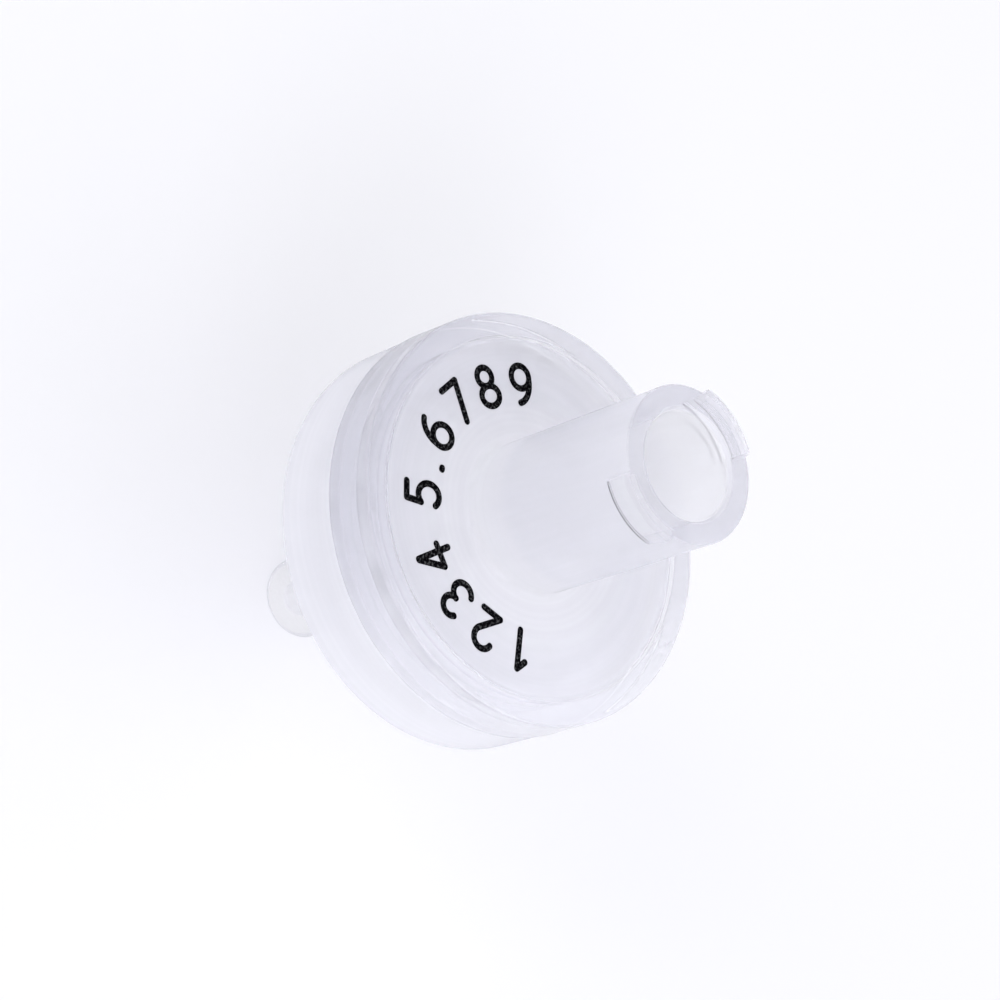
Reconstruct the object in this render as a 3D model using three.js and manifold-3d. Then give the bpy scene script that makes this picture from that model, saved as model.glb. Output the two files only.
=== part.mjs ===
// Syringe filter: a round membrane clamped between two welded halves of a clear plastic housing.
// Millimetres, +Z up. Liquid enters the luer socket at the top and leaves the slip tip, whose
// end face is centred on the origin.
import * as THREE from 'three';
import { mergeVertices } from 'three/addons/utils/BufferGeometryUtils.js';
import Module from 'manifold-3d';

// ---- Disc, the wide part of the housing -------------------------------------------------
const discRadius = 8.5;          // outer edge of both halves
const skirtFlare = 0.05;         // how far the front skirt stands proud of the disc at the seam
const frontHeight = 2.45;        // seam to front rim
const rearHeight = 3.25;         // rear rim to seam
const rimRounding = 0.2;         // outer edges of both rims
const rimInnerRounding = 0.08;   // inner edge of the front rim
const frontRimWidth = 1.0;
const faceRecess = 0.3;          // printed face, below the front rim
const plateThickness = 1.1;      // front wall over the membrane
const skirtWall = 1.05;          // front half's outer wall at the seam
const rearRimWidth = 1.1;
const rearRecess = 1.2;          // shallow ring pocket in the back
const rearPocketDraft = 0.15;    // how much narrower the pocket is at its floor, each side
const plateauHeight = 0.5;       // rear half's raised middle, inside the skirt

// ---- Inlet: luer lock socket ------------------------------------------------------------
const tubeRadius = 3.14;
const tubeHeight = 8.9;          // front rim to mouth
const tubeRootFillet = 0.3;
const mouthRounding = 0.08;
const boreRadius = 2.14;         // at the mouth, inside the chamfer
const boreChamfer = 0.17;        // bevel at the bore's mouth, across
const chamferDepth = 0.3;        // the same bevel, along the bore
const boreDepth = 8.0;
const boreFloorSlope = 0.4;      // depth of the funnel from the bore's floor to the port
const inletPortRadius = 0.8;
const luerTaper = 0.03;          // change of radius for each millimetre of length
const lugCount = 2;
const lugRadius = 3.52;          // at the mouth face
const lugBackRadius = 3.25;      // at the lug's lower edge
const lugDepth = 1.25;
const lugSpan = 54;              // degrees round the tube
const lugStart = 0;              // middle of the first lug, degrees from +X

// ---- Outlet: luer slip tip --------------------------------------------------------------
const tipRadius = 1.76;          // at the free end
const tipLength = 8.1;
const tipRounding = 0.2;
const outletPortRadius = 0.75;
const bossRadius = 2.9;          // collar between the tip and the back of the disc
const bossHeight = 2.5;
const bossRounding = 0.25;

// ---- Membrane and what holds it ---------------------------------------------------------
const membraneRadius = 6.5;
const membraneThickness = 0.2;
const clampWidth = 0.5;          // ring of the front half that presses on the membrane's edge
const clampInset = 0.1;          // membrane left outside the clamp ring
const skirtClearance = 0.1;      // plateau to skirt, and membrane to whatever surrounds it
const ribCount = 8;
const ribWidth = 0.4;
const ribClearance = 0.1;        // inlet ribs to membrane
const ribEndClearance = 0.4;     // inlet ribs to the port and to the clamp ring
const grooveCount = 3;           // drain rings under the membrane
const grooveWidth = 0.5;
const grooveDepth = 0.3;
const drainCount = 8;            // radial drains that join the rings to the outlet port
const drainWidth = 0.5;

// ---- Facets -----------------------------------------------------------------------------
const turnSteps = 64;
const roundSteps = 4;
const lugSteps = 12;
const overlap = 0.2;             // how deep an added shape reaches into the shape it joins

// ---- Heights, from the tip's end up -----------------------------------------------------
const bossBottom = tipLength;
const rearRim = bossBottom + bossHeight;
const seam = rearRim + rearHeight;
const frontRim = seam + frontHeight;
const face = frontRim - faceRecess;
const mouth = frontRim + tubeHeight;
const plateau = seam + plateauHeight;
const membraneTop = plateau + membraneThickness;
const roof = face - plateThickness;
const clampOuter = membraneRadius - clampInset;
const clampInner = clampOuter - clampWidth;
const pocketFloor = rearRim + rearRecess;
const skirtInner = discRadius - skirtWall;

const wasm = await Module();
wasm.setup();

// Point of a profile: distance from the axis, and height.
function at(radius, height) {
  return new THREE.Vector2(radius, height);
}

// Points of a quarter round about a centre, turned from one angle to another in degrees.
function corner(radius, height, size, from, to) {
  const points = [];
  for (let step = 0; step <= roundSteps; step += 1) {
    const angle = THREE.MathUtils.degToRad(from + (to - from) * step / roundSteps);
    points.push(at(radius + size * Math.cos(angle), height + size * Math.sin(angle)));
  }
  return points;
}

// Solid made by turning a closed profile round the Z axis.
function turned(profile) {
  const geometry = new THREE.LatheGeometry([...profile, profile[0]], turnSteps);
  geometry.rotateX(Math.PI / 2);
  return solid(geometry);
}

// Solid of a closed geometry, for joining and cutting.
function solid(geometry) {
  const bare = geometry.clone();
  bare.deleteAttribute('normal');
  bare.deleteAttribute('uv');
  const merged = mergeVertices(bare, 1e-4);
  return new wasm.Manifold(new wasm.Mesh({
    numProp: 3,
    vertProperties: new Float32Array(merged.attributes.position.array),
    triVerts: new Uint32Array(merged.index.array),
  }));
}

// Geometry of a finished solid.
function geometryOf(body) {
  const mesh = body.getMesh();
  const geometry = new THREE.BufferGeometry();
  geometry.setAttribute('position', new THREE.BufferAttribute(mesh.vertProperties, 3));
  geometry.setIndex(new THREE.BufferAttribute(mesh.triVerts, 1));
  return geometry;
}

// Part of a turned shape: a convex profile swept through an arc, with flat ends.
function sector(profile, middle, span) {
  const positions = [];
  const faces = [];
  const count = profile.length;
  for (let step = 0; step <= lugSteps; step += 1) {
    const angle = THREE.MathUtils.degToRad(middle + span * (step / lugSteps - 0.5));
    for (const point of profile) {
      positions.push(point.x * Math.cos(angle), point.x * Math.sin(angle), point.y);
    }
  }
  for (let step = 0; step < lugSteps; step += 1) {
    for (let side = 0; side < count; side += 1) {
      const here = step * count + side;
      const next = step * count + (side + 1) % count;
      faces.push(here, here + count, next + count, here, next + count, next);
    }
  }
  const last = lugSteps * count;
  for (let side = 1; side < count - 1; side += 1) {
    faces.push(0, side, side + 1, last, last + side + 1, last + side);
  }
  const geometry = new THREE.BufferGeometry();
  geometry.setAttribute('position', new THREE.Float32BufferAttribute(positions, 3));
  geometry.setIndex(faces);
  return solid(geometry);
}

// Bar on a radius of the part, from one radius to another and from one height to another.
function spoke(inner, outer, low, high, width, angle) {
  const geometry = new THREE.BoxGeometry(outer - inner, width, high - low);
  geometry.translate((inner + outer) / 2, 0, (low + high) / 2);
  geometry.rotateZ(angle);
  return solid(geometry);
}

// Evenly spaced bars round the axis.
function spokes(count, inner, outer, low, high, width) {
  const bars = [];
  for (let index = 0; index < count; index += 1) {
    bars.push(spoke(inner, outer, low, high, width, index * 2 * Math.PI / count));
  }
  return bars;
}

// Front half: plate with a raised rim, skirt down to the seam, clamp ring, luer lock socket.
function inletHousing() {
  const boreTop = mouth - chamferDepth;
  const boreFloor = mouth - boreDepth;
  const boreFloorRadius = boreRadius - luerTaper * (boreTop - boreFloor);
  const rimInner = discRadius - frontRimWidth;
  const profile = [
    at(boreRadius + boreChamfer, mouth),
    at(boreRadius, boreTop),
    at(boreFloorRadius, boreFloor),
    at(inletPortRadius, boreFloor - boreFloorSlope),
    at(inletPortRadius, roof),
    at(clampInner, roof),
    at(clampInner, membraneTop),
    at(clampOuter, membraneTop),
    at(clampOuter, roof),
    at(skirtInner, roof),
    at(skirtInner, seam),
    at(discRadius + skirtFlare, seam),
    ...corner(discRadius - rimRounding, frontRim - rimRounding, rimRounding, 0, 90),
    ...corner(rimInner + rimInnerRounding, frontRim - rimInnerRounding, rimInnerRounding, 90, 180),
    at(rimInner, face),
    ...corner(tubeRadius + tubeRootFillet, face + tubeRootFillet, tubeRootFillet, 270, 180),
    ...corner(tubeRadius - mouthRounding, mouth - mouthRounding, mouthRounding, 0, 90),
  ];
  let body = turned(profile);
  const ribInner = inletPortRadius + ribEndClearance;
  const ribOuter = clampInner - ribEndClearance;
  const ribBottom = membraneTop + ribClearance;
  for (const rib of spokes(ribCount, ribInner, ribOuter, ribBottom, roof + overlap, ribWidth)) {
    body = body.add(rib);
  }
  const lugProfile = [
    at(tubeRadius - overlap, mouth - lugDepth),
    at(lugBackRadius, mouth - lugDepth),
    at(lugRadius, mouth),
    at(tubeRadius - overlap, mouth),
  ];
  for (let index = 0; index < lugCount; index += 1) {
    body = body.add(sector(lugProfile, lugStart + index * 360 / lugCount, lugSpan));
  }
  return geometryOf(body);
}

// Filter sheet, clamped round its edge and carried by the rear half's plateau.
function membrane() {
  return geometryOf(turned([
    at(0, plateau),
    at(membraneRadius, plateau),
    at(membraneRadius, membraneTop),
    at(0, membraneTop),
  ]));
}

// Rear half: plateau with drain rings, ring pocket in the back, collar and luer slip tip.
function outletHousing() {
  const tipRoot = tipRadius + luerTaper * tipLength;
  const pocketOuter = discRadius - rearRimWidth;
  const grooves = [];
  const grooveSpace = (clampInner - outletPortRadius) / (grooveCount + 1);
  for (let index = 1; index <= grooveCount; index += 1) {
    const inner = outletPortRadius + index * grooveSpace - grooveWidth / 2;
    grooves.push(at(inner + grooveWidth, plateau));
    grooves.push(at(inner + grooveWidth, plateau - grooveDepth));
    grooves.push(at(inner, plateau - grooveDepth));
    grooves.push(at(inner, plateau));
  }
  const profile = [
    at(outletPortRadius, 0),
    ...corner(tipRadius - tipRounding, tipRounding, tipRounding, 270, 360),
    at(tipRoot, bossBottom),
    ...corner(bossRadius - bossRounding, bossBottom + bossRounding, bossRounding, 270, 360),
    at(bossRadius, pocketFloor),
    at(pocketOuter - rearPocketDraft, pocketFloor),
    at(pocketOuter, rearRim),
    ...corner(discRadius - rimRounding, rearRim + rimRounding, rimRounding, 270, 360),
    at(discRadius, seam),
    at(skirtInner - skirtClearance, seam),
    at(skirtInner - skirtClearance, plateau),
  ];
  for (let index = grooveCount - 1; index >= 0; index -= 1) {
    profile.push(...grooves.slice(4 * index, 4 * index + 4));
  }
  profile.push(at(outletPortRadius, plateau));
  let body = turned(profile);
  const drainInner = outletPortRadius - overlap;
  const drainOuter = outletPortRadius + grooveCount * grooveSpace;
  const drainFloor = plateau - grooveDepth;
  for (const drain of spokes(drainCount, drainInner, drainOuter, drainFloor, plateau + overlap, drainWidth)) {
    body = body.subtract(drain);
  }
  return geometryOf(body);
}

function piece(name, geometry, color, roughness) {
  const material = new THREE.MeshStandardMaterial({ color, roughness, metalness: 0 });
  const mesh = new THREE.Mesh(geometry, material);
  mesh.name = name;
  return mesh;
}

const filter = new THREE.Group();
filter.add(piece('inlet_housing', inletHousing(), 0xe4e3ee, 0.35));
filter.add(piece('membrane', membrane(), 0xf7f7f7, 0.8));
filter.add(piece('outlet_housing', outletHousing(), 0xdfdeeb, 0.35));

export default filter;
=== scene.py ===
"""Syringe filter: the finished look of its two clear housing halves, its membrane and its print.

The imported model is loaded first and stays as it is. Each operator makes one piece in metres, in
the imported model's own frame: +Z is the flow axis, and the outlet tip ends at the origin.
"""

import bmesh
import bpy
import numpy as np
from mathutils import Matrix, Vector


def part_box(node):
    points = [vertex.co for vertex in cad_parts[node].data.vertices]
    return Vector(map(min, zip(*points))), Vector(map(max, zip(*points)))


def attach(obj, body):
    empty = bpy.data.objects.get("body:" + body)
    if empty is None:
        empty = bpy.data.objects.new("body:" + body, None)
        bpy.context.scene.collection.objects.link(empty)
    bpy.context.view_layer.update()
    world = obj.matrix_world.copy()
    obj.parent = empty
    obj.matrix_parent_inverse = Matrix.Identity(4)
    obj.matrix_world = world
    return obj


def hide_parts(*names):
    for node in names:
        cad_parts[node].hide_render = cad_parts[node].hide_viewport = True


bl_info = {
    "name": "Syringe Filter",
    "version": (1, 0, 0),
    "blender": (4, 5, 0),
    "location": "3D Viewport > Sidebar > Syringe Filter",
    "description": "Makes a disc-shaped syringe filter in clear moulded plastic",
    "category": "Add Mesh",
}

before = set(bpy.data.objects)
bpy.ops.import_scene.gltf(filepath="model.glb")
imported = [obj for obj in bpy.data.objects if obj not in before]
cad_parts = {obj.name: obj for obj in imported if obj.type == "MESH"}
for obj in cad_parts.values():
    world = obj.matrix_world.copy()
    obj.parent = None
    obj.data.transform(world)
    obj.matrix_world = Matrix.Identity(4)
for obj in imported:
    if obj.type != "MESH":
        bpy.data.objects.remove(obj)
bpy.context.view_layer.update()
INLET_LOW, INLET_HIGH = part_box("inlet_housing")
OUTLET_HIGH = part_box("outlet_housing")[1]
MEMBRANE_LOW, MEMBRANE_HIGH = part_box("membrane")
MM = 0.001

# Small roundings: plain moulded edges, and the membrane's.
FINE = 0.03 * MM
SHEET_FINE = 0.01 * MM

# A rounded corner's arc starts at least ARC_LEAST of its rounding from the corner, and at most
# ARC_MOST of the shorter side.
ARC_LEAST = 0.2
ARC_MOST = 0.42

# The least half turn of a corner, the least length to divide by, and the least step of angle.
LEAST_TURN = 1e-3
LEAST_LENGTH = 1e-9
LEAST_STEP = 1e-4

# Columns round the halves and the membrane, and the extra ones at each end of a lug, which reach
# LUG_MARGIN of the slope's width to both sides of its middle.
COLUMNS = 360
SHEET_COLUMNS = 192
LUG_COLUMNS = 14
LUG_MARGIN = 0.75

# Horizontal directions in which the front skirt is painted darker, as painted shade, and made
# clearer, as painted light.
SHADE_SIDE = (-0.42, 0.91, 0.0)
LIGHT_SIDE = (-0.5, -0.87, 0.0)

# Radii between which a part of the plastic's finish fades in.
END_REACH = (3.8 * MM, 3.6 * MM)
RIM_REACH = (7.2 * MM, 7.6 * MM)
HEART_REACH = (6.5 * MM, 3.5 * MM)
NOTCH_REACH = (2.9 * MM, 3.0 * MM)

# Distances past an edge, or past the axis for LIP_SIDE_FADE, between which a part fades in.
BORE_FADE = (0.08 * MM, 0.01 * MM)
FLANGE_FADE = (0.02 * MM, 0.1 * MM)
NOTCH_FADE = (-0.02 * MM, -0.04 * MM)
NOTCH_TOP_FADE = (-0.2 * MM, -0.4 * MM)
LIP_FADE = (-0.06 * MM, -0.03 * MM)
LIP_LOW_FADE = (-0.1 * MM, -0.05 * MM)
LIP_HIGH_FADE = (0.07 * MM, 0.05 * MM)
LIP_SIDE_FADE = (-0.5 * MM, 0.5 * MM)
FACE_FADE = (-0.06 * MM, -0.02 * MM)
SKIRT_TOP_FADE = (-0.1 * MM, -0.4 * MM)
SCRATCH_FADE = (4.6 * MM, 3.0 * MM)
TUBE_FADE = (0.0, 2.5 * MM)
TIP_FADE = (0.3 * MM, -0.1 * MM)

# Shares of the disc's radius between which the skirt's painted shade and painted light fade in.
SHADE_FADE = (0.4, 0.95)
LIGHT_FADE = (0.3, 0.9)

# Noise: its fineness, how the streaks are drawn out along the axis, how strong they are in the
# tube and the tip, how much of that the bore takes away, and the noise's middle value.
RING_SCALE = 2600.0
STREAK_SCALE = 4500.0
SHEET_SCALE = 6000.0
INK_SCALE = 9000.0
STREAK_STRETCH = (1.0, 1.0, 0.06)
STREAK_STRENGTH = 0.4
BORE_SMOOTHING = 0.35
NOISE_MIDDLE = 0.5

# Heights of relief, and plain settings of the shaders.
PLASTIC_RELIEF = 0.04 * MM
SHEET_RELIEF = 0.02 * MM
PLASTIC_IOR = 1.45
SKIN_ROUGHNESS = 0.35
EDGE_BLEND = 0.2
WHITE = (1.0, 1.0, 1.0, 1.0)
THIN_INK = (0.1, 0.1, 0.105)

# Print: degrees from one digit to the next, the same beside a space or a point, and the middle of
# a digit's box. A stroke has BEAD_END rows round each end, up to BEAD_TURN of a quarter turn, and
# BEAD_SIDES points across, and its top is flatter with a lower BEAD_FLATNESS.
DIGIT_STEP = 18.5
OTHER_STEPS = {" ": 13.5, ".": 14.5}
DIGIT_MIDDLE = 0.3
BEAD_END = 6
BEAD_TURN = 0.98
BEAD_SIDES = 9
BEAD_FLATNESS = 0.5

# Stage: the floor's reach, the nearest that the camera shows, and the lamps' directions from the
# origin.
FLOOR_REACH = 3.0
CLIP_START = 1.0 * MM
KEY_WAY = (-0.31, 0.73, 0.61)
FILL_WAY = (-0.74, -0.30, 0.62)


def length(name, description, default):
    """A size in metres that a user can change."""
    return bpy.props.FloatProperty(name=name, description=description, default=default,
                                   min=0.0, precision=5, unit="LENGTH")


def angle(name, description, degrees):
    """An angle that a user can change."""
    return bpy.props.FloatProperty(name=name, description=description,
                                   default=float(np.radians(degrees)), subtype="ANGLE")


def tint(name, description, default):
    """A colour that a user can change."""
    return bpy.props.FloatVectorProperty(name=name, description=description, default=default,
                                         size=3, min=0.0, max=1.0, subtype="COLOR")


def share(name, description, default):
    """A share between none and all that a user can change."""
    return bpy.props.FloatProperty(name=name, description=description, default=default,
                                   min=0.0, max=1.0, subtype="FACTOR")


class FilterSizes(bpy.types.PropertyGroup):
    """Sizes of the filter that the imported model's boxes don't give."""

    disc_radius: length("Disc radius", "Outer edge of both halves", OUTLET_HIGH.x)
    rear_height: length("Rear height", "Rear rim to seam", 3.25 * MM)
    seam_gap: length("Seam gap", "Free height between the two halves", 0.02 * MM)
    front_height: length("Front height", "Seam to front rim", 2.45 * MM)
    rim_rounding: length("Rim rounding", "Outer edges of both rims", 0.2 * MM)
    seam_rounding: length("Seam rounding", "Edges that meet at the seam", 0.06 * MM)
    front_rim_width: length("Front rim width", "Raised ring round the face", 1.0 * MM)
    face_recess: length("Face recess", "Face below the front rim", 0.3 * MM)
    plate_thickness: length("Plate thickness", "Front wall over the membrane", 1.1 * MM)
    skirt_wall: length("Skirt wall", "Outer wall of the front half", 1.05 * MM)
    rear_rim_width: length("Rear rim width", "Ring round the back's pocket", 1.1 * MM)
    rear_recess: length("Rear recess", "Depth of the back's pocket", 1.2 * MM)
    rear_draft: length("Rear draft", "Slope of the pocket's outer wall", 0.15 * MM)
    skirt_clearance: length("Skirt clearance", "Plateau to skirt", 0.1 * MM)
    tube_radius: length("Tube radius", "Outside of the inlet tube", 3.14 * MM)
    tube_root: length("Tube root", "Fillet between the tube and the face", 0.3 * MM)
    mouth_rounding: length("Mouth rounding", "Outer edge of the mouth", 0.08 * MM)
    bore_radius: length("Bore radius", "Luer bore at its mouth", 2.14 * MM)
    bore_chamfer: length("Bore chamfer", "Bevel at the bore's mouth, across", 0.17 * MM)
    chamfer_depth: length("Chamfer depth", "Bevel at the bore's mouth, along the bore", 0.3 * MM)
    bore_depth: length("Bore depth", "Mouth to the bore's floor", 8.0 * MM)
    bore_funnel: length("Bore funnel", "Depth of the slope to the port", 0.4 * MM)
    inlet_port: length("Inlet port", "Radius of the hole to the membrane", 0.8 * MM)
    luer_taper: bpy.props.FloatProperty(name="Luer taper", default=0.03, min=0.0,
                                        description="Change of radius for each unit of length")
    lug_radius: length("Lug radius", "Lugs at the mouth", 3.52 * MM)
    lug_shoulder: length("Lug shoulder", "Radius where a lug's lowered front starts", 2.88 * MM)
    lug_drop: length("Lug drop", "A lug's front below the mouth", 0.06 * MM)
    lug_undercut: length("Lug undercut", "Depth and height of the notch under a lug", 0.08 * MM)
    lug_ramp: angle("Lug ramp", "Slope at each end of a lug", 4.5)
    lug_back_radius: length("Lug back radius", "Lugs at their lower edge", 3.25 * MM)
    lug_depth: length("Lug depth", "Lugs along the tube", 1.25 * MM)
    lug_span: angle("Lug span", "Each lug round the tube", 54.0)
    tip_radius: length("Tip radius", "Free end of the slip tip", 1.76 * MM)
    tip_length: length("Tip length", "Free end to the collar", 8.1 * MM)
    tip_rounding: length("Tip rounding", "Edge of the free end", 0.2 * MM)
    outlet_port: length("Outlet port", "Radius of the outlet's bore", 0.75 * MM)
    boss_radius: length("Collar radius", "Collar between tip and disc", 2.9 * MM)
    boss_rounding: length("Collar rounding", "Lower edge of the collar", 0.25 * MM)
    clamp_width: length("Clamp width", "Ring that presses on the membrane", 0.5 * MM)
    clamp_inset: length("Clamp inset", "Membrane left outside the ring", 0.1 * MM)
    groove_width: length("Groove width", "Drain rings under the membrane", 0.5 * MM)
    groove_depth: length("Groove depth", "Drain rings under the membrane", 0.3 * MM)
    groove_count: bpy.props.IntProperty(name="Grooves", default=3, min=1,
                                        description="Number of drain rings")


class FilterPrint(bpy.types.PropertyGroup):
    """The arc of plain numbers on the face."""

    digits: bpy.props.StringProperty(name="Digits", default="1234 5.6789",
                                     description="Plain numbers printed round the face")
    start: angle("Start", "Angle of the first digit, from +X", 218.0)
    baseline: length("Baseline", "Radius that the digits stand on", 4.76 * MM)
    height: length("Height", "Digits between stroke middles", 1.6 * MM)
    stroke: length("Stroke", "Width of a stroke", 0.28 * MM)
    thickness: length("Thickness", "Ink above the face", 0.015 * MM)


class FilterColours(bpy.types.PropertyGroup):
    """Colours of the filter and of what stands round it."""

    plastic: tint("Plastic", "Clear housing", (0.965, 0.965, 1.0))
    # Painted shade: a darker tint on one side of the front skirt and rim, where the shade falls.
    painted_side_shade: tint("Dense", "Denser side of the front skirt and rim", (0.83, 0.83, 0.88))
    tube: tint("Tube", "Thick wall of the inlet tube", (0.91, 0.91, 0.97))
    # Painted light: the bore's wall is tinted whiter than the plastic, so that it looks lit
    # through.
    bore: tint("Bore", "Polished wall of the bore", (0.98, 0.98, 1.0))
    face: tint("End face", "Matt end face of the tube", (0.78, 0.78, 0.85))
    # Painted shadow: near black in the notch and along the lower edge of each lug.
    crease_shadow: tint("Crease", "Notch and dark line under a lug", (0.01, 0.01, 0.012))
    shadow: tint("Shadow", "Edges seen along the skin", (0.35, 0.35, 0.4))
    membrane: tint("Membrane", "Porous sheet", (1.0, 1.0, 1.0))
    ink: tint("Ink", "Print", (0.002, 0.002, 0.003))
    floor: tint("Floor", "Floor that the tip stands on", (0.925, 0.925, 0.957))
    glow: tint("Glow", "Surroundings", (0.985, 0.985, 1.0))


class FilterPlastic(bpy.types.PropertyGroup):
    """How milky or clear the moulded plastic and the membrane are."""

    inlet_clarity: share("Inlet clarity", "Light that passes the front half unbent", 0.3)
    outlet_clarity: share("Outlet clarity", "Light that passes the rear half unbent", 0.35)
    heart_clarity: share("Heart clarity", "Added to it towards the axis", 0.25)
    tube_clarity: share("Tube clarity", "Light that passes the tube unbent", 0.4)
    tip_clarity: share("Tip clarity", "Light that passes the slip tip unbent", 0.85)
    bore_clarity: share("Bore clarity", "Light that passes the bore's wall unbent", 0.3)
    flange_clarity: share("Flange clarity", "Light that passes the lugs unbent", 0.5)
    leak: share("Leak", "Scattered light that comes through", 0.74)
    tube_leak: share("Tube leak", "The same in the tube and the tip", 0.6)
    depth: share("Depth", "Light that enters the plastic and is bent", 0.33)
    skirt_depth: share("Skirt depth", "The same in the front half's rim and skirt", 0.75)
    rear_depth: share("Rear depth", "The same in the rear half's rim", 0.33)
    tube_depth: share("Tube depth", "The same in the tube", 0.55)
    tip_depth: share("Tip depth", "The same in the tip", 0.4)
    bore_depth: share("Bore depth", "The same in the bore", 0.3)
    haze: share("Haze", "Roughness of the moulded skin", 0.04)
    relief: share("Relief", "Strength of the turning rings and streaks", 0.09)
    streaks: share("Streaks", "Change of clarity from streak to streak", 0.06)
    scratches: bpy.props.FloatProperty(name="Scratches", default=3.5, min=0.0,
                                       description="Depth of those at the foot of the bore")
    outline: share("Outline", "Darker look of the edges seen along the skin", 0.9)
    tube_outline: share("Tube outline", "The same in the tube", 0.15)
    tip_outline: share("Tip outline", "The same in the tip", 0.45)
    skirt_clarity: share("Skirt clarity", "Light that passes the front rim and skirt unbent", 0.2)
    # Painted light: added clarity on one side of the skirt, which makes it lighter there.
    painted_light_clarity: share("Light clarity", "Added to it on the skirt's clearer side", 0.25)
    rear_clarity: share("Rear clarity", "Light that passes the rear rim unbent", 0.35)
    port_clarity: share("Port clarity", "Light that passes the tip's port unbent", 0.85)
    sheet_clarity: share("Sheet clarity", "Light that passes the membrane unbent", 0.6)


class FilterStage(bpy.types.PropertyGroup):
    """Where the camera stands, and the light."""

    azimuth: angle("Azimuth", "Camera's direction from the part, from +X", 160.62)
    elevation: angle("Elevation", "Camera's height over the floor, seen from the part", 47.43)
    roll: angle("Roll", "Turn about the line of sight", -70.49)
    distance: length("Distance", "Camera to the point it looks at", 117.19 * MM)
    focal_length: bpy.props.FloatProperty(name="Lens", description="Focal length, millimetres",
                                          default=104.4, min=1.0)
    sensor: bpy.props.FloatProperty(name="Sensor", description="Sensor width, millimetres",
                                    default=36.0, min=1.0)
    aim: bpy.props.FloatVectorProperty(name="Aim", size=3, subtype="TRANSLATION", precision=5,
                                       description="Point that the camera looks at",
                                       default=(0.371 * MM, 1.055 * MM, 14.562 * MM))
    level: bpy.props.FloatProperty(name="Level", description="Mean strength of the surroundings",
                                   default=0.96, min=0.0)
    side_glow: bpy.props.FloatVectorProperty(name="Side glow", size=3, subtype="XYZ",
                                             description="Direction and amount that the "
                                                         "surroundings brighten towards",
                                             default=(-0.294, -0.637, 0.0))
    key_power: bpy.props.FloatProperty(name="Key", description="Power of the key lamp, watts",
                                       default=0.18, min=0.0)
    fill_power: bpy.props.FloatProperty(name="Fill", description="Power of the fill lamp, watts",
                                        default=0.28, min=0.0)
    lamp_distance: length("Lamp distance", "From the origin", 450 * MM)
    lamp_size: length("Lamp size", "Side of each square lamp", 200 * MM)


# ---- Surfaces ---------------------------------------------------------------------------


def rounded_profile(corners, steps=6, support=0.35):
    """Closed outline through corners (radius, height, rounding), as an array of points.

    Each corner is a circular arc tangent to both of its sides: the arc starts at the distance
    rounding * tan(turn / 2) from the corner, or a fifth of the rounding where the corner is
    nearly straight, so that no two points meet, and never past a set share of the shorter side.
    A support point stands beyond each end of the arc, at a share of that distance, so that
    smooth shading stays inside the arc.
    """
    points = np.array([corner[:2] for corner in corners], float)
    sizes = np.array([corner[2] for corner in corners], float)
    before = np.roll(points, 1, axis=0) - points
    after = np.roll(points, -1, axis=0) - points
    reach_before = np.linalg.norm(before, axis=1)
    reach_after = np.linalg.norm(after, axis=1)
    before /= reach_before[:, None]
    after /= reach_after[:, None]
    cosine = np.clip((before * after).sum(axis=1), -1.0, 1.0)
    half = np.minimum(np.arccos(cosine) / 2, np.pi / 2 - LEAST_TURN)
    tangent = np.maximum(sizes / np.tan(half), ARC_LEAST * sizes)
    tangent = np.minimum(tangent, ARC_MOST * np.minimum(reach_before, reach_after))
    radius = tangent * np.tan(half)
    middle = before + after
    middle /= np.maximum(np.linalg.norm(middle, axis=1), LEAST_LENGTH)[:, None]
    centre = points + middle * (radius / np.sin(half))[:, None]
    first = points + before * tangent[:, None]
    last = points + after * tangent[:, None]
    turn = np.linspace(0.0, 1.0, steps + 1)
    arm_first = first - centre
    arm_last = last - centre
    spread = np.pi - 2 * half
    weight_first = np.sin((1 - turn)[None, :] * spread[:, None]) / np.sin(spread)[:, None]
    weight_last = np.sin(turn[None, :] * spread[:, None]) / np.sin(spread)[:, None]
    arcs = (centre[:, None] + weight_first[:, :, None] * arm_first[:, None]
            + weight_last[:, :, None] * arm_last[:, None])
    extra = support * tangent
    lead = points + before * (tangent + extra)[:, None]
    tail = points + after * (tangent + extra)[:, None]
    return np.concatenate([lead[:, None], arcs, tail[:, None]], axis=1).reshape(-1, 2)


def ring_surface(outline, angles):
    """Vertices and faces of a closed outline turned round +Z.

    A point at (radius, height) stands at radius * (cos a, sin a) and that height. The outline
    is one array for all angles, or one for each angle. Both ways round the grid close.
    """
    outline = np.broadcast_to(outline, (len(angles),) + outline.shape[-2:])
    radius, height = outline[..., 0], outline[..., 1]
    cos, sin = np.cos(angles)[:, None], np.sin(angles)[:, None]
    points = np.stack([radius * cos, radius * sin, height], -1)
    rows, columns = radius.shape
    row, column = np.meshgrid(np.arange(rows), np.arange(columns), indexing="ij")
    next_row, next_column = (row + 1) % rows, (column + 1) % columns
    quads = np.stack([row * columns + column, next_row * columns + column,
                      next_row * columns + next_column, row * columns + next_column], -1)
    return points.reshape(-1, 3), quads.reshape(-1, 4)


def capped_surface(outline, angles):
    """Vertices and faces of an outline that starts and ends on the axis, turned round +Z.

    Its inner points make a ring surface that is left open at the axis, where triangles join it
    to one pole at each end.
    """
    vertices, quads = ring_surface(outline[1:-1], angles)
    count = len(outline) - 2
    rows = np.arange(len(angles))
    next_rows = (rows + 1) % len(angles)
    quads = quads[quads[:, 0] % count != count - 1]
    poles = np.array([[0, 0, outline[0, 1]], [0, 0, outline[-1, 1]]])
    low = np.stack([rows * count, next_rows * count, np.full_like(rows, len(vertices))], -1)
    high = np.stack([next_rows * count + count - 1, rows * count + count - 1,
                     np.full_like(rows, len(vertices) + 1)], -1)
    return np.concatenate([vertices, poles]), [*quads.tolist(), *low.tolist(), *high.tolist()]


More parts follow.
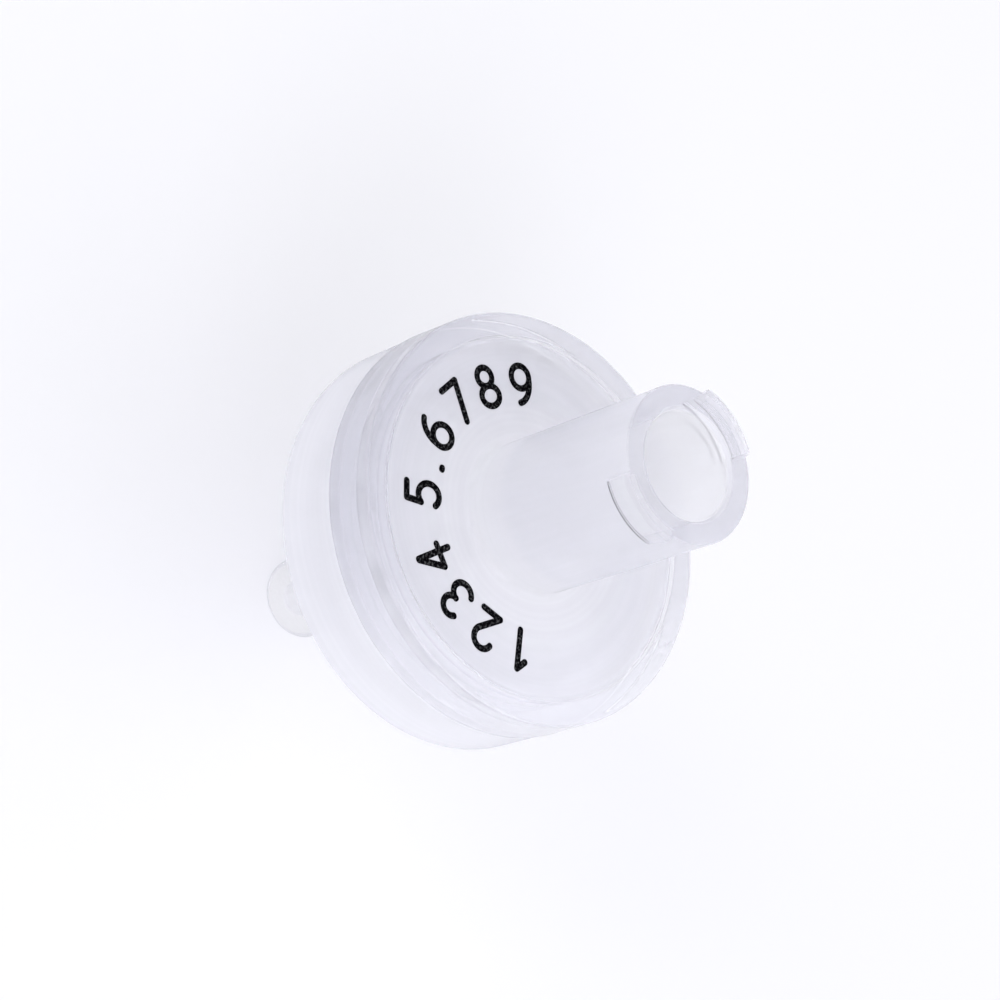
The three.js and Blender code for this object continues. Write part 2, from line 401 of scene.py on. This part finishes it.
def lug_angles(edges, width):
    """Angles round the part, evenly spaced, with more of them across each lug's end."""
    even = np.linspace(0.0, 2 * np.pi, COLUMNS, endpoint=False)
    spread = width * np.linspace(-LUG_MARGIN, LUG_MARGIN, LUG_COLUMNS)
    every = np.sort(np.mod(np.concatenate([even, *(edge + spread for edge in edges)]), 2 * np.pi))
    return every[np.diff(every, prepend=-1.0) > LEAST_STEP]


def smooth_step(low, high, value):
    """0 below low, 1 above high, and the smooth cubic 3t^2 - 2t^3 between."""
    t = np.clip((value - low) / (high - low), 0.0, 1.0)
    return t * t * (3 - 2 * t)


def make_piece(name, vertices, faces, material):
    """Mesh object of a finished surface, smooth shaded, with its faces turned outwards."""
    mesh = bpy.data.meshes.new(name)
    faces = faces.tolist() if isinstance(faces, np.ndarray) else faces
    mesh.from_pydata(vertices.tolist(), [], faces)
    edit = bmesh.new()
    edit.from_mesh(mesh)
    bmesh.ops.recalc_face_normals(edit, faces=edit.faces)
    edit.to_mesh(mesh)
    edit.free()
    mesh.shade_smooth()
    mesh.materials.append(material)
    piece = bpy.data.objects.new(name, mesh)
    bpy.context.scene.collection.objects.link(piece)
    return piece


# ---- Finishes ---------------------------------------------------------------------------


class Value:
    """A shader socket that is used in Python expressions, each adding its Math node."""

    def __init__(self, finish, socket):
        self.finish = finish
        self.socket = socket

    def maths(self, operation, first, second):
        """The result of one Math node."""
        return self.finish.node("ShaderNodeMath", {"operation": operation}, {0: first, 1: second})

    def __add__(self, other):
        return self.maths("ADD", self, other)

    def __radd__(self, other):
        return self.maths("ADD", other, self)

    def __sub__(self, other):
        return self.maths("SUBTRACT", self, other)

    def __rsub__(self, other):
        return self.maths("SUBTRACT", other, self)

    def __mul__(self, other):
        return self.maths("MULTIPLY", self, other)

    def __rmul__(self, other):
        return self.maths("MULTIPLY", other, self)


class Finish:
    """The node tree of one material, or of the surroundings."""

    def __init__(self, owner):
        owner.use_nodes = True
        self.tree = owner.node_tree
        self.tree.nodes.clear()

    def node(self, kind, settings=None, inputs=None, output=0):
        """Adds one node, settings first, then its sockets' values or links. Returns an output."""
        made = self.tree.nodes.new(kind)
        for key, value in (settings or {}).items():
            if key == "stops":
                stops = made.color_ramp.elements
                while len(stops) < len(value):
                    stops.new(0.5)
                for stop, (place, colour) in zip(stops, value):
                    stop.position = place
                    stop.color = colour
            else:
                setattr(made, key, value)
        for key, value in (inputs or {}).items():
            if isinstance(value, Value):
                self.tree.links.new(value.socket, made.inputs[key])
            else:
                made.inputs[key].default_value = value
        return Value(self, made.outputs[output]) if made.outputs else None

    def ramp(self, value, low, high):
        """0 at low, 1 at high, and smooth between them."""
        return self.node("ShaderNodeMapRange", {"interpolation_type": "SMOOTHSTEP"},
                         {0: value, 1: low, 2: high})

    def past(self, value, edge, fade):
        """The same between two distances past an edge."""
        return self.ramp(value, edge + fade[0], edge + fade[1])

    def along(self, place, direction):
        """How far a place lies in a direction from the origin."""
        return self.node("ShaderNodeVectorMath", {"operation": "DOT_PRODUCT"},
                         {0: place, 1: direction}, output="Value")

    def mixed(self, mask, off, on):
        """Two colours: off where the mask is 0, on where it is 1, and mixed between."""
        return self.node("ShaderNodeMix", {"data_type": "RGBA"}, {0: mask, 6: off, 7: on}, output=2)

    def between(self, mask, off, on):
        """The same for two numbers."""
        return off + mask * (on - off)

    def blend(self, mask, off, on):
        """The same for two shaders."""
        return self.node("ShaderNodeMixShader", None, {0: mask, 1: off, 2: on})


def opaque(colour):
    """A colour with full alpha."""
    return (*colour, 1.0)


def moulded_plastic(name, scene, clarity, rim, end, bore, lugged):
    """Milky moulded plastic: part of the light passes unbent, part is bent, part scatters.

    clarity is the share that passes unbent, and rim holds that share and the bent share. end
    holds the heights between which the part's tube or tip starts, then both shares and the
    outline there, and bore its radius and both shares. The mould leaves fine rings round the
    axis and streaks along the end, with scratches at the foot of the bore.

    lugged is true for the half with the lugs. It has a matt end face, and its skirt has painted
    shade, a darker tint, on one side and painted light, a clearer look, on another. The notch under
    each lug, where little light reaches, and a line along the lower edge of the lug on the shaded
    side are painted near black as painted shadow.
    """
    look, colours, sizes = scene.filter_plastic, scene.filter_colours, scene.filter_sizes
    rim_clarity, rim_depth = rim
    end_start, end_full, end_clarity, end_depth, end_outline = end
    bore_radius, bore_clarity, bore_depth = bore
    material = bpy.data.materials.new(name)
    finish = Finish(material)
    place = finish.node("ShaderNodeTexCoord", output="Object")
    flat = finish.node("ShaderNodeVectorMath", {"operation": "MULTIPLY"},
                       {0: place, 1: (1.0, 1.0, 0.0)})
    radius = finish.node("ShaderNodeVectorMath", {"operation": "LENGTH"}, {0: flat}, output="Value")
    height = finish.node("ShaderNodeSeparateXYZ", None, {"Vector": place}, output="Z")

    # Masks of the parts that look different.
    on_end = finish.ramp(height, end_start, end_full) * finish.ramp(radius, *END_REACH)
    in_bore = finish.past(radius, bore_radius, BORE_FADE)
    on_flange = on_end * finish.past(radius, sizes.tube_radius, FLANGE_FADE)
    on_rim = finish.ramp(radius, *RIM_REACH)
    in_heart = finish.ramp(radius, *HEART_REACH)
    crease_shadow = end_face = lit_side = shaded_side = 0.0
    if lugged:
        z = heights(sizes)
        lug_low = z["mouth"] - sizes.lug_depth
        # Directions of the skirt's painted shade and painted light.
        shade_way = finish.along(place, SHADE_SIDE)
        light_way = finish.along(place, LIGHT_SIDE)
        # Painted shadow: the notch under each lug and a thin line along the lug's lower edge, on
        # the shaded side only.
        notch = (finish.past(radius, sizes.tube_radius, NOTCH_FADE)
                 * finish.ramp(radius, *NOTCH_REACH)
                 * finish.past(height, z["mouth"], NOTCH_TOP_FADE))
        lug_edge_shadow = (finish.past(radius, sizes.lug_back_radius, LIP_FADE)
               * finish.past(height, lug_low, LIP_LOW_FADE)
               * finish.past(height, lug_low, LIP_HIGH_FADE)
               * finish.ramp(shade_way, *LIP_SIDE_FADE))
        crease_shadow = on_end * (notch + lug_edge_shadow)
        end_face = finish.past(height, z["mouth"], FACE_FADE)
        disc = sizes.disc_radius
        # Painted light on the skirt's clearer side, and painted shade on its darker side.
        lit_side = (on_rim * finish.ramp(light_way, LIGHT_FADE[0] * disc, LIGHT_FADE[1] * disc)
                      * finish.past(height, z["front_rim"], SKIRT_TOP_FADE))
        shaded_side = on_rim * finish.ramp(shade_way, SHADE_FADE[0] * disc, SHADE_FADE[1] * disc)

    # Rings, streaks and scratches.
    ring = finish.node("ShaderNodeCombineXYZ", None, {"X": radius, "Y": height})
    rings = finish.node("ShaderNodeTexNoise", {"noise_dimensions": "2D"},
                        {"Vector": ring, "Scale": RING_SCALE, "Detail": 2.0, "Roughness": 0.6})
    drawn_out = finish.node("ShaderNodeMapping", None, {"Vector": place, "Scale": STREAK_STRETCH})
    streaks = finish.node("ShaderNodeTexNoise", None, {
        "Vector": drawn_out, "Scale": STREAK_SCALE, "Detail": 1.0, "Roughness": 0.6})
    scratched = in_bore * finish.past(height, end_start, SCRATCH_FADE)
    streaked = on_end * (STREAK_STRENGTH - in_bore * BORE_SMOOTHING) + scratched * look.scratches
    relief = (rings - NOISE_MIDDLE) * (1.0 - on_end) + (streaks - NOISE_MIDDLE) * streaked
    bump = finish.node("ShaderNodeBump", None, {
        "Height": relief, "Strength": look.relief, "Distance": PLASTIC_RELIEF})

    # Scattered light, then bent light.
    # Painted shade: the darker tint on one side of the skirt and rim.
    colour = finish.mixed(shaded_side, opaque(colours.plastic), opaque(colours.painted_side_shade))
    colour = finish.mixed(on_end, colour, opaque(colours.tube))
    colour = finish.mixed(end_face, colour, opaque(colours.face))
    # Painted light: the bore's wall is whiter than the plastic.
    colour = finish.mixed(in_bore, colour, opaque(colours.bore))
    # Painted shadow: near black in the notch and along the lower edge of each lug.
    colour = finish.mixed(crease_shadow, colour, opaque(colours.crease_shadow))
    skin = finish.node("ShaderNodeBsdfPrincipled", {"distribution": "GGX"}, {
        "Base Color": colour, "Roughness": SKIN_ROUGHNESS, "Specular IOR Level": 0.0,
        "Normal": bump})
    through = finish.node("ShaderNodeBsdfTranslucent", None, {"Color": colour, "Normal": bump})
    leak = finish.between(on_end * (1.0 - in_bore), look.leak, look.tube_leak)
    milky = finish.blend(leak, skin, through)
    bent = finish.node("ShaderNodeBsdfPrincipled", {"distribution": "GGX"}, {
        "Base Color": colour, "Roughness": look.haze, "IOR": PLASTIC_IOR,
        "Transmission Weight": 1.0, "Normal": bump})
    depth = finish.between(on_rim, look.depth, rim_depth)
    depth = finish.between(in_bore, finish.between(on_end, depth, end_depth), bore_depth)
    plastic = finish.blend(depth, milky, bent)

    # Light that passes unbent, and the darker edges.
    unbent = finish.node("ShaderNodeBsdfTransparent", None, {"Color": WHITE})
    clear = finish.between(on_rim, in_heart * look.heart_clarity + clarity, rim_clarity)
    clear = finish.between(on_flange, finish.between(on_end, clear, end_clarity),
                           look.flange_clarity)
    clear = finish.between(in_bore, clear, bore_clarity) * (1.0 - crease_shadow) + relief * look.streaks
    # Painted light: more light passes unbent on the skirt's lit side.
    clear = clear + lit_side * look.painted_light_clarity
    body = finish.blend(clear, plastic, unbent)
    dark = finish.node("ShaderNodeBsdfTransparent", None, {"Color": opaque(colours.shadow)})
    edge = finish.node("ShaderNodeLayerWeight", None, {"Blend": EDGE_BLEND}, output="Facing")
    sharp = edge * edge
    outline = finish.between(on_end, sharp * look.outline, end_outline)
    # Painted light: the dark edges are weaker on the skirt's lit side.
    surface = finish.blend(sharp * outline * (1.0 - lit_side), body, dark)
    finish.node("ShaderNodeOutputMaterial", None, {"Surface": surface})
    return material


def matt_sheet(name, scene):
    """Porous sheet: matt white, lit from both sides, with a fine uneven surface."""
    colour = opaque(scene.filter_colours.membrane)
    material = bpy.data.materials.new(name)
    finish = Finish(material)
    place = finish.node("ShaderNodeTexCoord", output="Object")
    grain = finish.node("ShaderNodeTexNoise", None,
                        {"Vector": place, "Scale": SHEET_SCALE, "Detail": 1.0, "Roughness": 0.7})
    bump = finish.node("ShaderNodeBump", None,
                       {"Height": grain, "Strength": 0.3, "Distance": SHEET_RELIEF})
    front = finish.node("ShaderNodeBsdfPrincipled", None, {
        "Base Color": colour, "Roughness": 0.85, "Normal": bump})
    back = finish.node("ShaderNodeBsdfTranslucent", None, {"Color": colour, "Normal": bump})
    sheet = finish.blend(0.5, front, back)
    unbent = finish.node("ShaderNodeBsdfTransparent", None, {"Color": WHITE})
    surface = finish.blend(scene.filter_plastic.sheet_clarity, sheet, unbent)
    finish.node("ShaderNodeOutputMaterial", None, {"Surface": surface})
    return material


def black_ink(name, colour):
    """Thin printed ink: nearly black, with paler specks where the layer is thin."""
    material = bpy.data.materials.new(name)
    finish = Finish(material)
    place = finish.node("ShaderNodeTexCoord", output="Object")
    specks = finish.node("ShaderNodeTexNoise", None,
                         {"Vector": place, "Scale": INK_SCALE, "Detail": 3.0, "Roughness": 0.6})
    stops = [(0.0, opaque(colour)), (0.5, opaque(colour)), (0.75, opaque(THIN_INK))]
    tone = finish.node("ShaderNodeValToRGB", {"stops": stops}, {"Fac": specks})
    shader = finish.node("ShaderNodeBsdfPrincipled", None,
                         {"Base Color": tone, "Roughness": 0.5 + specks * 0.2,
                          "Specular IOR Level": 0.0})
    finish.node("ShaderNodeOutputMaterial", None, {"Surface": shader})
    return material


def pale_floor(name, colour):
    """Plain floor in one pale colour."""
    material = bpy.data.materials.new(name)
    finish = Finish(material)
    shader = finish.node("ShaderNodeBsdfDiffuse", None, {"Color": opaque(colour)})
    finish.node("ShaderNodeOutputMaterial", None, {"Surface": shader})
    return material


# ---- Pieces -----------------------------------------------------------------------------


def heights(sizes):
    """Heights that both halves share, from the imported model's boxes and the sizes."""
    seam = INLET_LOW.z
    front_rim = seam + sizes.front_height
    face = front_rim - sizes.face_recess
    return {
        "skirt_end": seam + sizes.seam_gap / 2,
        "seat": seam - sizes.seam_gap / 2,
        "rear_rim": seam - sizes.rear_height,
        "front_rim": front_rim,
        "face": face,
        "roof": face - sizes.plate_thickness,
        "mouth": INLET_HIGH.z,
        "plateau": MEMBRANE_LOW.z,
        "membrane_top": MEMBRANE_HIGH.z,
    }


def clamp_radii(sizes):
    """Inner and outer radius of the ring that presses on the membrane."""
    outer = MEMBRANE_HIGH.x - sizes.clamp_inset
    return outer - sizes.clamp_width, outer


class FILTER_OT_inlet_housing(bpy.types.Operator):
    """Make the front half: face, rim, skirt, luer socket and lugs"""

    bl_idname = "syringe_filter.inlet_housing"
    bl_label = "Inlet Housing"

    def outline(self, sizes, lug):
        """Section of the half, rounded at its corners; lug is 0 on the plain tube, 1 on a lug."""
        z = heights(sizes)
        clamp_inner, clamp_outer = clamp_radii(sizes)
        bore_top = z["mouth"] - sizes.chamfer_depth
        bore_floor = z["mouth"] - sizes.bore_depth
        floor_radius = sizes.bore_radius - sizes.luer_taper * (bore_top - bore_floor)
        rim_inner = sizes.disc_radius - sizes.front_rim_width
        skirt_inner = sizes.disc_radius - sizes.skirt_wall
        lug_low = z["mouth"] - sizes.lug_depth
        lug_back = sizes.tube_radius + lug * (sizes.lug_back_radius - sizes.tube_radius)
        lug_front = sizes.tube_radius + lug * (sizes.lug_radius - sizes.tube_radius)
        lug_top = z["mouth"] - lug * sizes.lug_drop
        notch = lug * sizes.lug_undercut
        return rounded_profile([
            (sizes.bore_radius + sizes.bore_chamfer, z["mouth"], FINE),
            (sizes.bore_radius, bore_top, FINE),
            (floor_radius, bore_floor, FINE),
            (sizes.inlet_port, bore_floor - sizes.bore_funnel, FINE),
            (sizes.inlet_port, z["roof"], FINE),
            (clamp_inner, z["roof"], FINE),
            (clamp_inner, z["membrane_top"], FINE),
            (clamp_outer, z["membrane_top"], FINE),
            (clamp_outer, z["roof"], FINE),
            (skirt_inner, z["roof"], FINE),
            (skirt_inner, z["skirt_end"], FINE),
            (INLET_HIGH.x, z["skirt_end"], sizes.seam_rounding),
            (sizes.disc_radius, z["front_rim"], sizes.rim_rounding),
            (rim_inner, z["front_rim"], 2 * FINE),
            (rim_inner, z["face"], 2 * FINE),
            (sizes.tube_radius, z["face"], sizes.tube_root),
            (sizes.tube_radius, lug_low - 2 * sizes.lug_undercut, FINE),
            (sizes.tube_radius - notch, lug_low - sizes.lug_undercut, FINE),
            (sizes.tube_radius - notch, lug_low - FINE, FINE),
            (lug_back, lug_low, FINE),
            (lug_front, lug_top, sizes.mouth_rounding),
            (sizes.lug_shoulder + FINE, lug_top, FINE / 2),
            (sizes.lug_shoulder, z["mouth"], FINE / 2),
        ])

    def execute(self, context):
        sizes = context.scene.filter_sizes
        half, ramp = sizes.lug_span / 2, sizes.lug_ramp
        angles = lug_angles([-half, half, np.pi - half, np.pi + half], ramp)
        off_lug = np.abs(np.mod(angles + np.pi / 2, np.pi) - np.pi / 2)
        lug = smooth_step(half + ramp / 2, half - ramp / 2, off_lug)
        plain, lugged = self.outline(sizes, 0.0), self.outline(sizes, 1.0)
        outline = plain + lug[:, None, None] * (lugged - plain)
        vertices, faces = ring_surface(outline, angles)
        look, z = context.scene.filter_plastic, heights(sizes)
        plastic = moulded_plastic(
            "inlet_plastic", context.scene, look.inlet_clarity,
            (look.skirt_clarity, look.skirt_depth),
            (z["face"] + TUBE_FADE[0], z["face"] + TUBE_FADE[1], look.tube_clarity,
             look.tube_depth, look.tube_outline),
            (sizes.bore_radius, look.bore_clarity, look.bore_depth), lugged=True)
        piece = make_piece("inlet_shell", vertices, faces, plastic)
        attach(piece, "root")
        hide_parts("inlet_housing")
        return {"FINISHED"}


class FILTER_OT_outlet_housing(bpy.types.Operator):
    """Make the rear half: rim, pocket, plateau, collar and slip tip"""

    bl_idname = "syringe_filter.outlet_housing"
    bl_label = "Outlet Housing"

    def execute(self, context):
        sizes = context.scene.filter_sizes
        z = heights(sizes)
        tip_root = sizes.tip_radius + sizes.luer_taper * sizes.tip_length
        pocket_floor = z["rear_rim"] + sizes.rear_recess
        pocket_outer = sizes.disc_radius - sizes.rear_rim_width
        plateau_outer = sizes.disc_radius - sizes.skirt_wall - sizes.skirt_clearance
        clamp_inner = clamp_radii(sizes)[0]
        space = (clamp_inner - sizes.outlet_port) / (sizes.groove_count + 1)
        grooves = []
        for index in range(sizes.groove_count, 0, -1):
            inner = sizes.outlet_port + index * space - sizes.groove_width / 2
            outer = inner + sizes.groove_width
            floor = z["plateau"] - sizes.groove_depth
            grooves += [(outer, z["plateau"], FINE), (outer, floor, FINE),
                        (inner, floor, FINE), (inner, z["plateau"], FINE)]
        outline = rounded_profile([
            (sizes.outlet_port, 0.0, FINE),
            (sizes.tip_radius, 0.0, sizes.tip_rounding),
            (tip_root, sizes.tip_length, 2 * FINE),
            (sizes.boss_radius, sizes.tip_length, sizes.boss_rounding),
            (sizes.boss_radius, pocket_floor, 4 * FINE),
            (pocket_outer - sizes.rear_draft, pocket_floor, 4 * FINE),
            (pocket_outer, z["rear_rim"], 2 * FINE),
            (sizes.disc_radius, z["rear_rim"], sizes.rim_rounding),
            (sizes.disc_radius, z["seat"], sizes.seam_rounding),
            (plateau_outer, z["seat"], FINE),
            (plateau_outer, z["plateau"], FINE),
            *grooves,
            (sizes.outlet_port, z["plateau"], FINE),
        ])
        angles = np.linspace(0.0, 2 * np.pi, COLUMNS, endpoint=False)
        vertices, faces = ring_surface(outline, angles)
        look = context.scene.filter_plastic
        plastic = moulded_plastic(
            "outlet_plastic", context.scene, look.outlet_clarity,
            (look.rear_clarity, look.rear_depth),
            (sizes.tip_length + TIP_FADE[0], sizes.tip_length + TIP_FADE[1], look.tip_clarity,
             look.tip_depth, look.tip_outline),
            (sizes.outlet_port, look.port_clarity, look.tip_depth), lugged=False)
        piece = make_piece("outlet_shell", vertices, faces, plastic)
        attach(piece, "root")
        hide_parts("outlet_housing")
        return {"FINISHED"}


class FILTER_OT_membrane(bpy.types.Operator):
    """Make the white filter sheet between the halves"""

    bl_idname = "syringe_filter.membrane"
    bl_label = "Membrane"

    def execute(self, context):
        low, high = MEMBRANE_LOW.z + SHEET_FINE, MEMBRANE_HIGH.z - SHEET_FINE
        radius, bevel = MEMBRANE_HIGH.x, 2 * SHEET_FINE
        inner = radius - 3 * SHEET_FINE
        outline = np.array([(0.0, low), (0.5 * radius, low), (inner, low), (radius, low + bevel),
                            (radius, high - bevel), (inner, high), (0.5 * radius, high),
                            (0.0, high)])
        angles = np.linspace(0.0, 2 * np.pi, SHEET_COLUMNS, endpoint=False)
        vertices, faces = capped_surface(outline, angles)
        sheet = matt_sheet("membrane_sheet", context.scene)
        piece = make_piece("membrane_sheet", vertices, faces, sheet)
        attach(piece, "root")
        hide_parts("membrane")
        return {"FINISHED"}


# ---- Print ------------------------------------------------------------------------------


def line(start, end, count=8):
    """Points of a straight stroke."""
    return np.linspace(start, end, count)


def arc(centre, size, start, end, count=28):
    """Points of an elliptical stroke about a centre, between two angles in degrees."""
    turn = np.radians(np.linspace(start, end, count))
    return np.stack([centre[0] + size[0] * np.cos(turn), centre[1] + size[1] * np.sin(turn)], -1)


def digit_strokes(digit):
    """Strokes of one plain digit, each a path in a box from (0, 0) to (0.6, 1)."""
    if digit == ".":
        return [line((0.28, 0.0), (0.32, 0.0), 2)]
    if digit == "1":
        return [line((0.1, 0.78), (0.33, 1.0)), line((0.33, 1.0), (0.33, 0.0))]
    if digit == "2":
        bow = arc((0.3, 0.72), (0.28, 0.28), 165, -35)
        return [np.concatenate([bow[:-1], line(bow[-1], (0.03, 0.0))]),
                line((0.03, 0.0), (0.6, 0.0))]
    if digit == "3":
        return [arc((0.28, 0.75), (0.26, 0.25), 150, -80),
                arc((0.28, 0.26), (0.29, 0.26), 80, -150)]
    if digit == "4":
        return [line((0.42, 1.0), (0.03, 0.3)), line((0.03, 0.3), (0.62, 0.3)),
                line((0.44, 1.0), (0.44, 0.0))]
    if digit == "5":
        return [line((0.54, 1.0), (0.12, 1.0)), line((0.12, 1.0), (0.08, 0.56)),
                arc((0.28, 0.32), (0.3, 0.32), 132, -140)]
    if digit == "6":
        return [np.concatenate([arc((0.46, 0.42), (0.45, 0.58), 105, 180),
                                arc((0.3, 0.3), (0.29, 0.3), 180, 540)])]
    if digit == "7":
        return [line((0.02, 1.0), (0.58, 1.0)), line((0.58, 1.0), (0.2, 0.0))]
    if digit == "8":
        return [arc((0.3, 0.76), (0.24, 0.24), 0, 360), arc((0.3, 0.26), (0.29, 0.26), 0, 360)]
    if digit == "9":
        return [np.concatenate([arc((0.14, 0.58), (0.45, 0.58), -75, 0),
                                arc((0.3, 0.7), (0.29, 0.3), 0, 360)])]
    if digit == "0":
        return [arc((0.3, 0.5), (0.29, 0.5), 0, 360, 40)]
    raise ValueError(f"no strokes for {digit!r}")


def ink_bead(path, stroke, thickness, base):
    """Low ridge of ink along a flat path: half an ellipse of the stroke's width, round ended.

    At the distance s past an end, the half width is sqrt(w^2 - s^2), which rounds the end off.
    """
    half = stroke / 2
    step = np.diff(path, axis=0)
    heading = np.concatenate([step[:1], (step[1:] + step[:-1]) / 2, step[-1:]])
    heading /= np.linalg.norm(heading, axis=1)[:, None]
    reach = half * np.sin(np.linspace(0.0, np.pi / 2, BEAD_END + 1)[1:] * BEAD_TURN)
    before = path[0] - heading[0] * reach[::-1, None]
    after = path[-1] + heading[-1] * reach[:, None]
    spine = np.concatenate([before, path, after])
    heading = np.concatenate([np.repeat(heading[:1], BEAD_END, 0), heading,
                              np.repeat(heading[-1:], BEAD_END, 0)])
    width = np.concatenate([np.sqrt(half ** 2 - reach[::-1] ** 2), np.full(len(path), half),
                            np.sqrt(half ** 2 - reach ** 2)])
    side = np.stack([-heading[:, 1], heading[:, 0]], -1)
    across = np.linspace(0.0, np.pi, BEAD_SIDES)
    offset = np.cos(across)[None, :] * width[:, None]
    top = base + thickness * np.sin(across)[None, :] ** BEAD_FLATNESS * (width / half)[:, None]
    bottom = np.full((len(spine), 1), base - thickness)
    flat = spine[:, None] + offset[:, :, None] * side[:, None]
    ridge = np.concatenate([flat, top[:, :, None]], -1)
    left = np.concatenate([flat[:, -1], bottom], -1)[:, None]
    right = np.concatenate([flat[:, 0], bottom], -1)[:, None]
    rows = np.concatenate([ridge, left, right], 1)
    count, around = rows.shape[:2]
    row, column = np.meshgrid(np.arange(count - 1), np.arange(around), indexing="ij")
    next_column = (column + 1) % around
    quads = np.stack([row * around + column, row * around + next_column,
                      (row + 1) * around + next_column, (row + 1) * around + column], -1)
    ends = [list(range(around)), list(range(count * around - 1, (count - 1) * around - 1, -1))]
    return rows.reshape(-1, 3), quads.reshape(-1, 4).tolist() + ends


class FILTER_OT_print(bpy.types.Operator):
    """Make the arc of plain numbers on the face"""

    bl_idname = "syringe_filter.print"
    bl_label = "Numbers"

    def execute(self, context):
        sizes, text = context.scene.filter_sizes, context.scene.filter_print
        face = heights(sizes)["face"]
        vertices, faces, turn = [], [], text.start
        for index, digit in enumerate(text.digits):
            ahead = text.digits[index + 1:index + 2]
            if digit != " ":
                outward = np.array([np.cos(turn), np.sin(turn)])
                along = np.array([np.sin(turn), -np.cos(turn)])
                for stroke in digit_strokes(digit):
                    flat = (outward * (text.baseline + text.height * stroke[:, 1:])
                            + along * text.height * (stroke[:, :1] - DIGIT_MIDDLE))
                    made, sides = ink_bead(flat, text.stroke, text.thickness, face)
                    start = sum(len(part) for part in vertices)
                    vertices.append(made)
                    faces += [[start + corner for corner in side] for side in sides]
            turn -= np.radians(OTHER_STEPS.get(digit, OTHER_STEPS.get(ahead, DIGIT_STEP)))
        ink = black_ink("print_ink", context.scene.filter_colours.ink)
        piece = make_piece("face_numbers", np.concatenate(vertices), faces, ink)
        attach(piece, "root")
        return {"FINISHED"}


# ---- Stage ------------------------------------------------------------------------------


class FILTER_OT_stage(bpy.types.Operator):
    """Make the floor, the soft light and the camera"""

    bl_idname = "syringe_filter.stage"
    bl_label = "Stage"

    def camera(self, scene):
        """Camera at its azimuth and elevation about the aim, turned about its line of sight."""
        view = scene.filter_stage
        away = Vector((np.cos(view.elevation) * np.cos(view.azimuth),
                       np.cos(view.elevation) * np.sin(view.azimuth), np.sin(view.elevation)))
        data = bpy.data.cameras.new("camera")
        data.lens = view.focal_length
        data.sensor_width = view.sensor
        data.clip_start = CLIP_START
        camera = bpy.data.objects.new("camera", data)
        upright = away.to_track_quat("Z", "Y").to_matrix()
        camera.matrix_world = (Matrix.Translation(Vector(view.aim) + away * view.distance)
                               @ upright.to_4x4() @ Matrix.Rotation(-view.roll, 4, "Z"))
        scene.collection.objects.link(camera)
        scene.camera = camera

    def floor(self, scene):
        """Large flat floor under the tip."""
        reach = FLOOR_REACH
        corners = [(-reach, -reach, 0), (reach, -reach, 0), (reach, reach, 0), (-reach, reach, 0)]
        mesh = bpy.data.meshes.new("floor")
        mesh.from_pydata(corners, [], [(0, 1, 2, 3)])
        mesh.materials.append(pale_floor("floor", scene.filter_colours.floor))
        floor = bpy.data.objects.new("floor", mesh)
        scene.collection.objects.link(floor)

    def lamp(self, scene, name, power, direction, aim):
        """Square soft lamp that shines at a point."""
        stage = scene.filter_stage
        data = bpy.data.lights.new(name, "AREA")
        data.shape = "SQUARE"
        data.size = stage.lamp_size
        data.energy = power
        lamp = bpy.data.objects.new(name, data)
        place = direction * stage.lamp_distance
        turn = (place - Vector(aim)).to_track_quat("Z", "Y")
        lamp.matrix_world = Matrix.Translation(place) @ turn.to_matrix().to_4x4()
        scene.collection.objects.link(lamp)

    def world(self, scene):
        """Pale surroundings, brighter on one side."""
        world = bpy.data.worlds.new("surroundings")
        finish = Finish(world)
        toward = finish.node("ShaderNodeTexCoord", output="Generated")
        side = finish.along(toward, scene.filter_stage.side_glow)
        glow = finish.node("ShaderNodeBackground", None,
                           {"Color": opaque(scene.filter_colours.glow),
                            "Strength": scene.filter_stage.level + side})
        finish.node("ShaderNodeOutputWorld", None, {"Surface": glow})
        scene.world = world

    def execute(self, context):
        scene = context.scene
        self.camera(scene)
        self.floor(scene)
        self.world(scene)
        middle = (0.0, 0.0, INLET_LOW.z)
        stage = scene.filter_stage
        self.lamp(scene, "key", stage.key_power, Vector(KEY_WAY), middle)
        self.lamp(scene, "fill", stage.fill_power, Vector(FILL_WAY), middle)
        scene.view_settings.view_transform = "Standard"
        return {"FINISHED"}


class FILTER_PT_panel(bpy.types.Panel):
    """Sizes, colours and the operators that make the filter"""

    bl_label = "Syringe Filter"
    bl_idname = "FILTER_PT_panel"
    bl_space_type = "VIEW_3D"
    bl_region_type = "UI"
    bl_category = "Syringe Filter"

    def draw(self, context):
        for group in (context.scene.filter_sizes, context.scene.filter_print,
                      context.scene.filter_colours, context.scene.filter_plastic,
                      context.scene.filter_stage):
            box = self.layout.box()
            for name in group.__annotations__:
                box.prop(group, name)
        for operator in OPERATORS:
            self.layout.operator(operator.bl_idname)


GROUPS = {
    "filter_sizes": FilterSizes,
    "filter_print": FilterPrint,
    "filter_colours": FilterColours,
    "filter_plastic": FilterPlastic,
    "filter_stage": FilterStage,
}
OPERATORS = (
    FILTER_OT_stage,
    FILTER_OT_inlet_housing,
    FILTER_OT_outlet_housing,
    FILTER_OT_membrane,
    FILTER_OT_print,
)


def register():
    """Adds the classes and their settings to Blender."""
    for cls in (*GROUPS.values(), *OPERATORS, FILTER_PT_panel):
        bpy.utils.register_class(cls)
    for name, group in GROUPS.items():
        setattr(bpy.types.Scene, name, bpy.props.PointerProperty(type=group))


def unregister():
    """Takes them out again."""
    for name in GROUPS:
        delattr(bpy.types.Scene, name)
    for cls in reversed((*GROUPS.values(), *OPERATORS, FILTER_PT_panel)):
        bpy.utils.unregister_class(cls)


def main():
    """Makes the whole filter on its stage."""
    register()
    bpy.ops.syringe_filter.stage()
    bpy.ops.syringe_filter.inlet_housing()
    bpy.ops.syringe_filter.outlet_housing()
    bpy.ops.syringe_filter.membrane()
    bpy.ops.syringe_filter.print()


if __name__ == "__main__":
    main()
